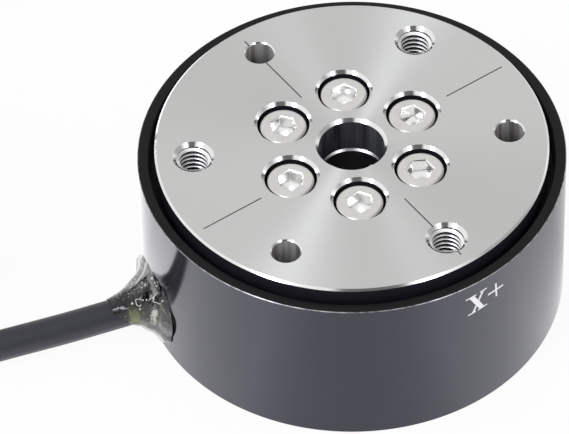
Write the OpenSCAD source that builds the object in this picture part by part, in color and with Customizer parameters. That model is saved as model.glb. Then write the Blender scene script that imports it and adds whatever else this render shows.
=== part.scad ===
// Six-axis force torque sensor: a machined cup, an elastic cross element inside it,
// a tool plate screwed to the element's hub, and a cable bonded into the cup's side.
// Millimetres. Origin at the centre of the underside, +Z out of the tool plate.
// +X is the sensor's own X axis. A cable with its plug lies wound up beside the cup.

/* [Casing] */
// Outside diameter of the cup
casing_d = 75; // [74:0.5:90]
// Height of the cup, from the underside to the rim
casing_h = 31.4; // [30:0.1:40]
// Thickness of the cup's side wall
casing_wall = 2; // [1.5:0.1:3]
// Thickness of the cup's floor
floor_t = 8; // [7:0.5:10]
// Chamfer on the cup's outer edges
casing_chamfer = 0.3; // [0.1:0.05:0.8]
// Chamfer on the inner edge of the rim
rim_chamfer = 0.2; // [0.05:0.05:0.5]

/* [Tool plate] */
// Height of the tool plate's face above the rim
plate_proud = 2.3; // [1:0.1:5]
// Thickness of the tool plate
plate_t = 7.5; // [7:0.1:9]
// Running gap between the tool plate and the cup, on the radius
plate_gap = 1.05; // [0.5:0.05:2]
// Chamfer on the tool plate's edge
plate_chamfer = 0.35; // [0.1:0.05:0.8]
// Diameter of the bore through the middle
bore_d = 11.5; // [8:0.1:14]
// Chamfer at each mouth of the bore
bore_chamfer = 0.4; // [0.1:0.05:0.8]
// Width of the lines scribed along the axes
line_w = 0.22; // [0.1:0.02:0.5]
// Depth of the scribed lines
line_depth = 0.15; // [0.05:0.05:0.4]
// Inner end of the X lines, from the middle
line_x_start = 15.5; // [10:0.5:18]
// Inner end of the Y lines, from the middle
line_y_start = 20.2; // [19:0.1:24]
// Distance of the lines' outer ends from the plate's edge
line_margin = 2; // [1:0.5:4]

/* [Mounting holes] */
// Distance of the tool plate's threads and dowel holes from its edge
tool_hole_inset = 6.75; // [6:0.05:7.5]
// Distance of the underside's threads and dowel holes from the cup's outside
robot_hole_inset = 9.8; // [9:0.05:10.5]
// Nominal diameter of the mounting threads
thread_d = 6; // [5:0.5:6]
// Diameter of the countersink at each mounting thread
thread_mouth_d = 7; // [6.4:0.1:7.4]
// Diameter of the dowel holes
dowel_d = 5; // [4:0.5:6]
// Edge break of the dowel holes
dowel_chamfer = 0.15; // [0.05:0.05:0.3]
// Holes of each kind on a circle
mount_count = 3; // [3:1:3]

/* [Tool plate screws] */
// Circle of the screws that hold the tool plate
plate_screw_pcd = 26.2; // [25:0.1:28]
// Number of tool plate screws
plate_screw_count = 6; // [4:1:6]
// Shank diameter of a tool plate screw
plate_screw_d = 5; // [4:0.5:5]
// Head diameter of a tool plate screw
plate_head_d = 8.5; // [8:0.1:9]
// Head height of a tool plate screw
plate_head_h = 5; // [4:0.1:5.5]
// Hexagon socket of a tool plate screw, across its flats
plate_socket_af = 4; // [3:0.1:4.5]
// Length of a tool plate screw under its head
plate_screw_len = 14; // [10:1:15]
// Depth of the heads under the tool plate's face
head_recess = 0.85; // [0.3:0.05:1.2]
// Play between a head and its counterbore, on the radius
head_play = 0.35; // [0.2:0.05:0.5]
// Chamfer round each counterbore
counterbore_chamfer = 0.4; // [0.1:0.05:0.6]

/* [Elastic element] */
// Diameter of the hub
hub_d = 37; // [36:0.5:38.5]
// Gap between the hub and the cup's floor
hub_gap = 1; // [0.5:0.1:1.5]
// Share of the room between the hub and the ring's outside that the ring takes
ring_share = 0.55; // [0.5:0.01:0.6]
// Width of a beam
beam_w = 6; // [4:0.5:7]
// Step from each face of the ring to the beams' faces
beam_step = 1.5; // [1:0.1:2]
// Space for the wires between the ring and the cup's wall
ring_gap = 2.5; // [2:0.1:3]
// Thickness of the springy web that each beam ends in
web_t = 1.2; // [0.8:0.1:2]
// Width of the relief slot behind each web
slot_w = 1.6; // [1:0.1:2]
// Length of the relief slot
slot_len = 15; // [12:0.5:16]
// Shank diameter of a ring screw
ring_screw_d = 4; // [3:0.5:4]
// Head diameter of a ring screw
ring_head_d = 7; // [5.5:0.1:7]
// Head height of a ring screw
ring_head_h = 4; // [3:0.1:4]
// Hexagon socket of a ring screw, across its flats
ring_socket_af = 3; // [2:0.1:3.5]
// Depth that a ring screw reaches into the cup's floor
ring_screw_grip = 5.3; // [4:0.1:6]
// Number of ring screws
ring_screw_count = 6; // [6:1:6]
// Share of a beam's length that a strain gauge takes
gauge_share = 0.62; // [0.4:0.01:0.8]
// Width of a strain gauge
gauge_w = 2.6; // [1:0.1:3]
// Thickness of a strain gauge
gauge_t = 0.1; // [0.05:0.01:0.2]
// Diameter of the two pins between the hub and the tool plate
hub_pin_d = 3; // [2:0.5:3]
// Length of these pins
hub_pin_len = 8; // [6:0.5:9]
// Distance of these pins from the middle
hub_pin_r = 9.4; // [9:0.1:9.6]

/* [Circuit board] */
// Thickness of the circuit board
board_t = 1.6; // [1:0.1:2]
// Gap between the board and the hub
board_hub_gap = 2; // [1:0.1:3]
// Gap between the board and the cup's wall
board_wall_gap = 1; // [0.5:0.1:1.5]
// Clear height between the board and the tool plate
board_headroom = 4.6; // [4.2:0.1:6]
// Height of the posts under the board
post_h = 3; // [2:0.1:4]
// Width of a post across its flats
post_af = 5; // [4:0.1:5.5]
// Diameter of the board screws
board_screw_d = 2.5; // [2:0.1:3]
// Head diameter of the board screws
board_head_d = 4.5; // [4:0.1:5]
// Head height of the board screws
board_head_h = 1.6; // [1:0.1:2]

/* [Cable] */
// Diameter of the cable
cable_d = 5.6; // [5:0.1:6]
// Diameter of the cable's inner jacket
jacket_d = 4.6; // [4:0.1:4.8]
// Angle of the cable's exit round the cup, from +X
cable_angle = -107.6; // [-110:0.1:-105]
// Height of the cable's axis at the exit
cable_z = 5.3; // [5:0.1:6]
// Play between the cable and its hole, on the radius
cable_play = 0.3; // [0.1:0.05:0.5]
// Radius of the bonding compound where it meets the cup
glue_r = 10.5; // [8:0.5:12]
// Distance that the compound reaches out along the cable
glue_len = 7.8; // [6:0.2:9]
// Thickness of the compound at its outer end
glue_lip = 0.15; // [0.1:0.05:0.5]
// Diameter of a wire in the cable
wire_d = 0.9; // [0.6:0.1:1]
// Number of wires in the cable
wire_count = 4; // [2:1:5]

/* [Cable coil] */
// Radius of the middle of the coil's turns
coil_r = 33; // [33:1:33]
// Turns side by side
coil_columns = 3; // [3:1:3]
// Turns on top of each other
coil_rows = 3; // [3:1:3]
// Thickness of a cable tie
tie_t = 0.8; // [0.5:0.1:1]
// Width of a cable tie
tie_w = 3.6; // [2.5:0.1:5]
// Play between a tie and the coil's turns
tie_play = 0.1; // [0.1:0.05:0.3]

/* [Plug] */
// Diameter of the plug's coupling nut
nut_d = 14.6; // [14:0.1:15]
// Length of the coupling nut's knurled grip
nut_len = 12; // [10:0.5:14]
// Diameter of the plug's screw thread
plug_thread_d = 12; // [11:0.1:12]
// Length of the plug's screw thread
plug_thread_len = 5; // [4:0.5:7]
// Length of the plug's moulded grip
grip_len = 24; // [20:1:28]
// Length of the bend relief behind the grip
relief_len = 14; // [12:1:18]
// Diameter of the contact pins
pin_d = 1; // [0.8:0.1:1]
// Number of contact pins on the circle
pin_count = 7; // [4:1:7]

/* [Hidden] */

$fn = 96;
touch = 0.05;          // play between curved faces that sit against each other
over = 1;              // how far a cut runs past the face that it opens

casing_r = casing_d / 2;
cavity_r = casing_r - casing_wall;
bore_r = bore_d / 2;
plate_r = cavity_r - plate_gap;
tool_pcd = 2 * (plate_r - tool_hole_inset);
robot_pcd = 2 * (casing_r - robot_hole_inset);
plate_top = casing_h + plate_proud;
plate_bottom = plate_top - plate_t;
head_seat = plate_top - head_recess - plate_head_h;

hub_r = hub_d / 2;
hub_bottom = floor_t + hub_gap;
ring_outer_r = cavity_r - ring_gap;
ring_inner_r = ring_outer_r - ring_share * (ring_outer_r - hub_r);
beam_len = ring_inner_r - hub_r;
gauge_len = gauge_share * beam_len;
board_top = plate_bottom - board_headroom;
board_z = board_top - board_t;
ring_top = board_z - post_h;
ring_h = ring_top - floor_t;
beam_h = ring_h - 2 * beam_step;
ring_screw_r = (ring_inner_r + ring_outer_r) / 2;
ring_counterbore = 0.3;     // depth of the ring screws' heads under the ring's top
beam_z = floor_t + ring_h / 2;

board_inner_r = hub_r + board_hub_gap;
board_outer_r = cavity_r - board_wall_gap;
part_r = (board_inner_r + board_outer_r) / 2;
post_angles = [60, 180, 300];
header_angle = cable_angle;

cable_r = cable_d / 2;
jacket_r = jacket_d / 2;
notch_side = 1.5;           // room at each side of the wires' way up
notch_deep = 5.5;           // depth of that way, in from the cup's wall
notch_w = jacket_d + 2 * notch_side;
notch_r = cavity_r - notch_deep;
wire_x = (notch_r + cavity_r) / 2;
header_shift = 1.15;        // the header stands this far in from the middle of its room
header_r = (board_inner_r + notch_r) / 2 - header_shift;
jacket_out = 4.5;           // length of inner jacket bare outside the cup
jacket_in = 1.25;             // and inside it
jacket_end = casing_r + jacket_out;

// The cable's route outside the cup: straight out, then down and along the ground.
// The points follow the centre line, up to the coil's outermost turn.
lead_route = [
    [-12.7, -40.1, 5.3], [-16.0, -50.5, 5.3], [-19.4, -61.0, 5.2],
    [-22.5, -71.0, 4.7], [-25.0, -79.0, 4.1]
];
coil_centre = [-68.4, -87.7];
// From the top of the coil round to the plug, which lies on the coil.
tail_route = [
    [-55.2, -123.9, 21.5], [-63.0, -126.0, 21.5], [-71.0, -126.3, 21.5],
    [-79.0, -124.8, 21.6], [-86.8, -121.3, 22.0], [-93.3, -115.8, 22.9],
    [-97.9, -108.8, 24.2], [-100.3, -100.8, 25.3], [-100.5, -94.5, 25.9], [-99.1, -88.0, 26.0]
];
plug_angle = 78;            // direction of the plug, in plan
tie_angles = [45, 165, 275];

bundle_w = coil_columns * cable_d;
bundle_h = coil_rows * cable_d;
coil_mid_z = tie_t + tie_play + bundle_h / 2;
plug_start = tail_route[len(tail_route) - 1];

// ---------------------------------------------------------------- shared shapes

// A disc whose two rims are chamfered.
module chamfered_disc(r, h, c) {
    rotate_extrude()
        polygon([[0, 0], [r - c, 0], [r, c], [r, h - c], [r - c, h], [0, h]]);
}

// A round cut through a wall from z0 to z1, opened by a chamfer at each face.
module chamfered_hole(r, z0, z1, c) {
    translate([0, 0, z0 - over]) cylinder(r = r, h = z1 - z0 + 2 * over);
    translate([0, 0, z1 - c]) cylinder(r1 = r, r2 = r + c + over, h = c + over);
    translate([0, 0, z0 - over]) cylinder(r1 = r + c + over, r2 = r, h = c + over);
}

// Children placed count times round a circle, the first at angle start.
module on_circle(r, count, start = 0) {
    for (i = [0 : count - 1])
        rotate([0, 0, start + i * 360 / count])
            translate([r, 0, 0])
                children();
}

// A hexagonal bar, measured across its flats.
module hex_bar(af, h) {
    cylinder(d = af / cos(30), h = h, $fn = 6);
}

// A socket head cap screw, with the underside of its head at z = 0.
module cap_screw(d, head_d, head_h, af, length) {
    edge = head_h / 12;
    difference() {
        union() {
            rotate_extrude()
                polygon([
                    [0, 0], [head_d / 2, 0], [head_d / 2, head_h - edge],
                    [head_d / 2 - edge, head_h], [0, head_h]
                ]);
            translate([0, 0, -length]) cylinder(d = d, h = length + over);
        }
        translate([0, 0, head_h / 2]) hex_bar(af, head_h);
        translate([0, 0, head_h - af / 12])
            cylinder(d1 = af, d2 = af * 1.25 + 2 * over, h = af / 12 + over);
    }
}

// A rectangle with round corners, centred.
module round_rect(w, h, r) {
    square([w - 2 * r, h], center = true);
    square([w, h - 2 * r], center = true);
    for (x = [-1, 1], y = [-1, 1])
        translate([x * (w / 2 - r), y * (h / 2 - r)]) circle(r = r);
}

// ---------------------------------------------------------------- swept tubes

function unit(v) = v / norm(v);

// The direction of travel at point i of a route.
function heading(route, i) =
    unit(route[min(i + 1, len(route) - 1)] - route[max(i - 1, 0)]);

// A level direction square to the heading; keep is used where the route is upright.
function across(h, keep) =
    norm([h[0], h[1]]) < 0.01 ? keep : unit([-h[1], h[0], 0]);

function ring_points(centre, h, r, sides, keep) =
    let (a = across(h, keep), b = cross(h, a))
    [for (k = [0 : sides - 1]) centre + r * (cos(360 * k / sides) * a + sin(360 * k / sides) * b)];

// One closed tube along a route.
module swept_tube(route, r, sides, keep = [0, 1, 0]) {
    rings = len(route);
    points = [for (i = [0 : rings - 1]) each ring_points(route[i], heading(route, i), r, sides, keep)];
    walls = [
        for (i = [0 : rings - 2], k = [0 : sides - 1])
            let (k2 = (k + 1) % sides, low = i * sides, high = low + sides)
            each [[low + k, high + k, high + k2], [low + k, high + k2, low + k2]]
    ];
    start_cap = [for (k = [0 : sides - 1]) k];
    end_cap = [for (k = [sides - 1 : -1 : 0]) (rings - 1) * sides + k];
    polyhedron(points = points, faces = concat([start_cap], walls, [end_cap]), convexity = 4);
}

// ---------------------------------------------------------------- casing

module mounting_threads(pcd, z0, z1, mouth_z, side) {
    on_circle(pcd / 2, mount_count) {
        translate([0, 0, z0 - over]) cylinder(d = thread_d, h = z1 - z0 + 2 * over);
        mouth = (thread_mouth_d - thread_d) / 2;
        translate([0, 0, mouth_z]) mirror([0, 0, side < 0 ? 1 : 0]) translate([0, 0, -mouth])
            cylinder(d1 = thread_d, d2 = thread_mouth_d + 2 * over, h = mouth + over);
    }
}

module dowel_holes(pcd, z0, z1) {
    on_circle(pcd / 2, mount_count, 180 / mount_count)
        chamfered_hole(dowel_d / 2, z0, z1, dowel_chamfer);
}

// The way of the wires up inside the cup, at the cable's exit.
module wire_way(z0, z1) {
    rotate([0, 0, cable_angle])
        translate([notch_r, -notch_w / 2, z0])
            cube([cavity_r - notch_r, notch_w, z1 - z0]);
}

module cable_hole() {
    rotate([0, 0, cable_angle])
        translate([notch_r + over, 0, cable_z])
            rotate([0, 90, 0])
                cylinder(r = cable_r + cable_play, h = casing_r - notch_r + over);
}

module casing() {
    color([0.16, 0.16, 0.18])
        difference() {
            rotate_extrude($fn = 180)
                polygon([
                    [0, 0], [casing_r - casing_chamfer, 0], [casing_r, casing_chamfer],
                    [casing_r, casing_h - casing_chamfer], [casing_r - casing_chamfer, casing_h],
                    [cavity_r + rim_chamfer, casing_h], [cavity_r, casing_h - rim_chamfer],
                    [cavity_r, floor_t], [0, floor_t]
                ]);
            chamfered_hole(bore_r, 0, floor_t, bore_chamfer);
            mounting_threads(robot_pcd, 0, floor_t, 0, -1);
            mounting_threads(robot_pcd, 0, floor_t, floor_t, 1);
            dowel_holes(robot_pcd, 0, floor_t);
            on_circle(ring_screw_r, ring_screw_count, 180 / ring_screw_count)
                translate([0, 0, floor_t - ring_screw_thread])
                    cylinder(d = ring_screw_d + 2 * touch, h = ring_screw_thread + over);
            wire_way(cable_z - cable_r - cable_play, floor_t + over);
            cable_hole();
        }
}

// ---------------------------------------------------------------- elastic element

ring_head_seat = ring_top - ring_counterbore - ring_head_h;
ring_screw_len = ring_head_seat - floor_t + ring_screw_grip;
thread_spare = 0.5;         // depth of a threaded hole past its screw
bolt_relief = 0.8;          // room under the ring for the ends of the robot's bolts and dowels
ring_screw_thread = ring_screw_grip + thread_spare;
hub_thread_depth = plate_screw_len - (head_seat - plate_bottom) + thread_spare;

module element_beams() {
    for (a = [0 : 90 : 270])
        rotate([0, 0, a])
            translate([hub_r - over, -beam_w / 2, beam_z - beam_h / 2])
                cube([beam_len + 2 * over, beam_w, beam_h]);
}

module elastic_element() {
    color([0.78, 0.79, 0.80])
        difference() {
            union() {
                translate([0, 0, hub_bottom]) cylinder(r = hub_r, h = plate_bottom - hub_bottom);
                difference() {
                    translate([0, 0, floor_t]) cylinder(r = ring_outer_r, h = ring_h);
                    translate([0, 0, floor_t - over]) cylinder(r = ring_inner_r, h = ring_h + 2 * over);
                }
                element_beams();
            }
            chamfered_hole(bore_r, hub_bottom, plate_bottom, bore_chamfer);
            on_circle(plate_screw_pcd / 2, plate_screw_count, 180 / plate_screw_count)
                translate([0, 0, plate_bottom - hub_thread_depth])
                    cylinder(d = plate_screw_d + 2 * touch, h = hub_thread_depth + over);
            for (a = [0, 180])
                rotate([0, 0, a]) translate([hub_pin_r, 0, plate_bottom - hub_pin_len / 2])
                    cylinder(d = hub_pin_d + 2 * touch, h = hub_pin_len);
            on_circle(ring_screw_r, ring_screw_count, 180 / ring_screw_count) {
                translate([0, 0, floor_t - over]) cylinder(d = ring_screw_d + 2 * head_play, h = ring_h + 2 * over);
                translate([0, 0, ring_head_seat]) cylinder(d = ring_head_d + 2 * head_play, h = ring_h);
            }
            for (a = [0 : 90 : 270])
                rotate([0, 0, a])
                    translate([ring_inner_r + web_t, -slot_len / 2, floor_t - over])
                        cube([slot_w, slot_len, ring_h + 2 * over]);
            wire_way(floor_t - over, ring_top + over);
            on_circle(robot_pcd / 2, 2 * mount_count)
                translate([0, 0, floor_t - over]) cylinder(d = thread_mouth_d, h = bolt_relief + over);
            for (a = post_angles)
                rotate([0, 0, a]) translate([ring_screw_r, 0, ring_top - post_h])
                    cylinder(d = board_screw_d + 2 * touch, h = post_h + over);
        }
}

module ring_screws() {
    color("silver")
        on_circle(ring_screw_r, ring_screw_count, 180 / ring_screw_count)
            translate([0, 0, ring_head_seat])
                cap_screw(ring_screw_d, ring_head_d, ring_head_h, ring_socket_af, ring_screw_len);
}

// Foil gauges on all four faces of each beam.
module strain_gauges() {
    color("goldenrod")
        for (a = [0 : 90 : 270], side = [0 : 90 : 270])
            rotate([0, 0, a])
                translate([hub_r + beam_len / 2, 0, beam_z])
                    rotate([side, 0, 0])
                        translate([-gauge_len / 2, -gauge_w / 2, (side % 180 == 0 ? beam_h : beam_w) / 2])
                            cube([gauge_len, gauge_w, gauge_t]);
}

module hub_pins() {
    color("gainsboro")
        for (a = [0, 180])
            rotate([0, 0, a])
                translate([hub_pin_r, 0, plate_bottom - hub_pin_len / 2])
                    chamfered_disc(hub_pin_d / 2, hub_pin_len, 0.3);
}

// Soft washer that closes the gap round the bore, between the hub and the floor.
module bore_seal() {
    seal_inset = 1;
    seal_w = 2.5;
    color([0.25, 0.25, 0.27])
        translate([0, 0, floor_t])
            difference() {
                cylinder(r = bore_r + seal_inset + seal_w, h = hub_gap);
                translate([0, 0, -over]) cylinder(r = bore_r + seal_inset, h = hub_gap + 2 * over);
            }
}

// ---------------------------------------------------------------- tool plate

module axis_line(angle, start) {
    rotate([0, 0, angle])
        translate([start, -line_w / 2, plate_top - line_depth])
            cube([plate_r - line_margin - start, line_w, line_depth + over]);
}

module top_plate() {
    color([0.78, 0.79, 0.78])
        difference() {
            translate([0, 0, plate_bottom]) chamfered_disc(plate_r, plate_t, plate_chamfer, $fn = 180);
            chamfered_hole(bore_r, plate_bottom, plate_top, bore_chamfer);
            mounting_threads(tool_pcd, plate_bottom, plate_top, plate_top, 1);
            dowel_holes(tool_pcd, plate_bottom, plate_top);
            on_circle(plate_screw_pcd / 2, plate_screw_count, 180 / plate_screw_count) {
                translate([0, 0, plate_bottom - over])
                    cylinder(d = plate_screw_d + 2 * touch, h = plate_t + over);
                translate([0, 0, head_seat]) cylinder(d = plate_head_d + 2 * head_play, h = plate_t);
                translate([0, 0, plate_top - counterbore_chamfer])
                    cylinder(
                        r1 = plate_head_d / 2 + head_play,
                        r2 = plate_head_d / 2 + head_play + counterbore_chamfer + over,
                        h = counterbore_chamfer + over
                    );
            }
            for (a = [0, 180])
                rotate([0, 0, a]) translate([hub_pin_r, 0, plate_bottom - over])
                    cylinder(d = hub_pin_d + 2 * touch, h = hub_pin_len / 2 + over + touch);
            for (a = [0, 180]) axis_line(a, line_x_start);
            for (a = [90, 270]) axis_line(a, line_y_start);
        }
}

// How far each screw's socket is turned, as the screws were left when tightened.
screw_turns = [0, 14, 22, 40, 30, 30];

module top_plate_screws() {
    color("silver")
        for (i = [0 : plate_screw_count - 1])
            rotate([0, 0, (i + 0.5) * 360 / plate_screw_count])
                translate([plate_screw_pcd / 2, 0, head_seat])
                    rotate([0, 0, screw_turns[i]])
                        cap_screw(plate_screw_d, plate_head_d, plate_head_h, plate_socket_af, plate_screw_len);
}

// Soft ring bonded to the cup's wall, just under the tool plate.
module gap_seal() {
    seal_h = 2.5;
    seal_w = 2.2;
    seal_play = 0.3;
    color([0.1, 0.1, 0.1])
        translate([0, 0, plate_bottom - seal_play - seal_h])
            difference() {
                cylinder(r = cavity_r - touch, h = seal_h);
                translate([0, 0, -over]) cylinder(r = cavity_r - seal_w, h = seal_h + 2 * over);
            }
}

// ---------------------------------------------------------------- circuit board

module circuit_board() {
    color([0.05, 0.35, 0.2])
        difference() {
            translate([0, 0, board_z])
                difference() {
                    cylinder(r = board_outer_r, h = board_t);
                    translate([0, 0, -over]) cylinder(r = board_inner_r, h = board_t + 2 * over);
                }
            wire_way(board_z - over, board_top + over);
            rotate([0, 0, cable_angle])
                translate([cavity_r - over - board_wall_gap, -notch_w / 2, board_z - over])
                    cube([2 * over, notch_w, board_t + 2 * over]);
            for (a = post_angles)
                rotate([0, 0, a]) translate([ring_screw_r, 0, board_z - over])
                    cylinder(d = board_screw_d + 4 * touch, h = board_t + 2 * over);
        }
}

module board_posts() {
    color("gold")
        for (a = post_angles)
            rotate([0, 0, a]) translate([ring_screw_r, 0, ring_top])
                difference() {
                    hex_bar(post_af, post_h);
                    translate([0, 0, -over]) cylinder(d = board_screw_d + 2 * touch, h = post_h + 2 * over);
                }
}

module board_screws() {
    slot = board_head_h / 2;
    color("silver")
        for (a = post_angles)
            rotate([0, 0, a]) translate([ring_screw_r, 0, board_top])
                difference() {
                    union() {
                        rotate_extrude()
                            polygon([
                                [0, 0], [board_head_d / 2, 0], [board_head_d / 2, slot],
                                [board_head_d / 2 - slot, board_head_h], [0, board_head_h]
                            ]);
                        translate([0, 0, -board_t - post_h - post_h / 2])
                            cylinder(d = board_screw_d, h = board_t + post_h + post_h / 2 + slot);
                    }
                    for (turn = [0, 90])
                        rotate([0, 0, turn])
                            translate([-board_head_d / 4, -0.3, slot])
                                cube([board_head_d / 2, 0.6, board_head_h]);
                }
}

large_chip = [8, 7, 1.2];
small_chip = [5, 4, 1.4];
capacitor = [1.6, 0.8, 0.8];
lead = [0.4, 0.9, 0.4];     // width, length and height of a chip's lead
lead_root = 0.1;            // how far a lead starts inside its chip
capacitor_step = 3;

// A chip with a row of leads along two of its sides, standing on z = 0.
module chip(size, leads) {
    pitch = size[0] / leads;
    translate([-size[0] / 2, -size[1] / 2, lead_root])
        cube([size[0], size[1], size[2] - lead_root]);
    for (i = [0 : leads - 1], turn = [0, 180])
        rotate([0, 0, turn])
            translate([(i + 0.5) * pitch - (size[0] + lead[0]) / 2, size[1] / 2 - lead_root, 0])
                cube(lead);
}

chip_angles = [0, 35, 90, 125, 155, 210];
capacitor_angles = [18, 74, 108, 140, 195, 228, 272, 318, 335];

module board_chips() {
    color([0.12, 0.12, 0.13])
        for (i = [0 : len(chip_angles) - 1])
            rotate([0, 0, chip_angles[i]]) translate([part_r, 0, board_top]) rotate([0, 0, 90])
                if (i % 3 == 0) chip(large_chip, 8);
                else chip(small_chip, 4);
}

module board_capacitors() {
    color("tan")
        for (a = capacitor_angles)
            rotate([0, 0, a])
                for (r = [part_r - capacitor_step, part_r, part_r + capacitor_step])
                    translate([r - capacitor[0] / 2, -capacitor[1] / 2, board_top])
                        cube(capacitor);
}

// The header stands on the board beside the wires' way, its mouth facing outwards.
header_pitch = 1.25;
header_size = [4, header_pitch * (wire_count + 1), 2.6];
header_wall = 0.5;
plug_play = 0.1;            // play of the wire plug in the header

module board_header() {
    color("ivory")
        rotate([0, 0, header_angle])
            translate([header_r - header_size[0] / 2, -header_size[1] / 2, board_top])
                difference() {
                    cube(header_size);
                    translate([header_wall * 2, header_wall, header_wall])
                        cube([
                            header_size[0], header_size[1] - 2 * header_wall,
                            header_size[2] - 2 * header_wall
                        ]);
                }
}

module wire_plug() {
    color("white")
        rotate([0, 0, header_angle])
            translate([
                header_r - header_size[0] / 2 + 2 * header_wall + plug_play,
                -header_size[1] / 2 + header_wall + plug_play, board_top + header_wall
            ])
                cube([
                    header_size[0] - header_wall, header_size[1] - 2 * (header_wall + plug_play),
                    header_size[2] - 2 * header_wall - plug_play
                ]);
}

// Wires from the cable's inner jacket, up through the notches and over to the plug.
module core_wires() {
    pitch = wire_d * 1.12;
    bend = wire_d * 4 / 3;
    plug_face = header_r + header_size[0] / 2 + header_wall + 2 * plug_play;
    wire_z = board_top + header_size[2] / 2;
    for (i = [0 : wire_count - 1])
        color(["red", "white", "green", "yellow", "black"][i])
            rotate([0, 0, cable_angle])
                translate([0, (i - (wire_count - 1) / 2) * pitch, 0])
                    swept_tube(
                        [
                            [cavity_r - jacket_in - touch, 0, cable_z],
                            [wire_x + bend, 0, cable_z],
                            [wire_x + bend / 4, 0, cable_z + bend / 4],
                            [wire_x, 0, cable_z + bend], [wire_x, 0, wire_z - bend],
                            [wire_x - bend / 4, 0, wire_z - bend / 4],
                            [wire_x - bend, 0, wire_z], [plug_face, 0, wire_z]
                        ],
                        wire_d / 2, 8
                    );
}

// ---------------------------------------------------------------- cable

module along_exit(x0) {
    rotate([0, 0, cable_angle])
        translate([x0, 0, cable_z])
            rotate([0, 90, 0])
                children();
}

module inner_jacket() {
    color([0.62, 0.64, 0.28])
        along_exit(cavity_r - jacket_in)
            cylinder(r = jacket_r, h = jacket_end - cavity_r + jacket_in - touch);
}

// The compound's outline climbs in a hollow arc from the cable to the cup.
module cable_glue() {
    steps = 10;
    lip_r = cable_r + touch + glue_lip;
    base = 4;               // how far the revolved outline starts inside the cup
    sag = 0.17;
    glue_lift = 0.4;        // the compound stays this far off the ground
    color([0.62, 0.66, 0.55, 0.7])
        intersection() {
            difference() {
                along_exit(casing_r - base)
                    rotate_extrude()
                        polygon(concat(
                            [[0, 0], [glue_r, 0]],
                            [for (i = [0 : steps])
                                let (t = i / steps, dip = 4 * sag * t * (1 - t))
                                [
                                    glue_r + (lip_r - glue_r) * t - dip * (glue_r - lip_r),
                                    base + glue_len * t - dip * glue_len
                                ]],
                            [[0, base + glue_len]]
                        ));
                cylinder(r = casing_r + touch, h = 2 * casing_h, center = true, $fn = 180);
                along_exit(0) cylinder(r = jacket_r + touch, h = 2 * casing_d);
                along_exit(jacket_end - touch) cylinder(r = cable_r + touch, h = casing_d);
            }
            translate([-casing_d, -casing_d, glue_lift]) cube([2 * casing_d, 2 * casing_d, casing_h]);
        }
}

module cable() {
    color([0.2, 0.2, 0.22]) swept_tube(lead_route, cable_r, 12);
}

module cable_coil() {
    color([0.2, 0.2, 0.22])
        translate([coil_centre[0], coil_centre[1], coil_mid_z])
            rotate_extrude()
                translate([coil_r, 0]) round_rect(bundle_w, bundle_h, cable_r);
}

module cable_tail() {
    color([0.2, 0.2, 0.22]) swept_tube(tail_route, cable_r, 12);
}

module coil_ties() {
    head = [5, 4.4, 5.6];
    color([0.08, 0.08, 0.08])
        for (a = tie_angles)
            translate([coil_centre[0], coil_centre[1], coil_mid_z])
                rotate([0, 0, a])
                    translate([coil_r, 0, 0]) {
                        rotate([90, 0, 0])
                            linear_extrude(height = tie_w, center = true)
                                difference() {
                                    round_rect(
                                        bundle_w + 2 * (tie_t + tie_play),
                                        bundle_h + 2 * (tie_t + tie_play),
                                        cable_r + tie_t
                                    );
                                    round_rect(bundle_w + 2 * tie_play, bundle_h + 2 * tie_play, cable_r);
                                }
                        translate([bundle_w / 2 + tie_play + tie_t / 2, -head[1] / 2, -head[2] / 2])
                            cube([head[0], head[1], head[2]]);
                    }
}

// ---------------------------------------------------------------- plug

plug_front = relief_len + grip_len;

// Children along the plug's axis, with z = 0 where the cable goes in.
module along_plug(z0 = 0) {
    translate(plug_start)
        rotate([0, 0, plug_angle])
            rotate([0, 90, 0])
                translate([0, 0, z0])
                    children();
}

module plug_grip() {
    relief_r = cable_r + 0.9;
    grip_r = nut_d / 2 - 0.5;
    groove_count = 4;
    groove_w = 1.1;
    scallops = 8;
    scallop_r = 2.2;
    color([0.1, 0.1, 0.11])
        along_plug()
            difference() {
                rotate_extrude()
                    polygon([
                        [0, 0], [relief_r, 0], [relief_r + 0.8, relief_len - 2],
                        [grip_r - 1, relief_len + 1], [grip_r, relief_len + 3],
                        [grip_r, plug_front - 1], [grip_r - 1, plug_front], [0, plug_front]
                    ]);
                for (i = [0 : groove_count - 1])
                    translate([0, 0, 2 + i * (relief_len - 3) / groove_count])
                        difference() {
                            cylinder(r = nut_d, h = groove_w);
                            translate([0, 0, -over]) cylinder(r = cable_r + 0.5, h = groove_w + 2 * over);
                        }
                on_circle(grip_r + scallop_r - 0.6, scallops)
                    translate([0, 0, relief_len + 4]) cylinder(r = scallop_r, h = grip_len - 7);
                translate([0, 0, -over]) cylinder(r = cable_r + touch, h = over + 0.3);
            }
}

module plug_nut() {
    knurls = 24;
    shell_r = plug_thread_d / 2;
    bore = shell_r - nut_wall;
    color("silver")
        along_plug(plug_front + touch)
            difference() {
                union() {
                    chamfered_disc(nut_d / 2, nut_len, 0.6);
                    translate([0, 0, nut_len - over])
                        chamfered_disc(shell_r, plug_thread_len + over, 0.5);
                }
                translate([0, 0, nut_floor]) cylinder(r = bore, h = nut_len + plug_thread_len + over);
                translate([0, 0, -over]) cylinder(r = bore - nut_floor, h = nut_floor + 2 * over);
                on_circle(nut_d / 2 + 0.25, knurls)
                    translate([0, 0, 1.5]) cylinder(r = 0.55, h = nut_len - 3, $fn = 16);
            }
}

nut_wall = 1.2;             // wall of the plug's threaded sleeve
nut_floor = 1;              // thickness of the nut behind the insert
mouth_depth = 8;            // depth of the plug's mouth, down to the insert
pin_root = 3;               // how far a pin starts inside the insert
pin_len = 8.7;
insert_r = plug_thread_d / 2 - nut_wall - 4 * touch;
insert_len = nut_len + plug_thread_len - mouth_depth;
pin_circle = insert_r * 0.62;
key_r = 0.7;                // the coding groove down the insert's side

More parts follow.
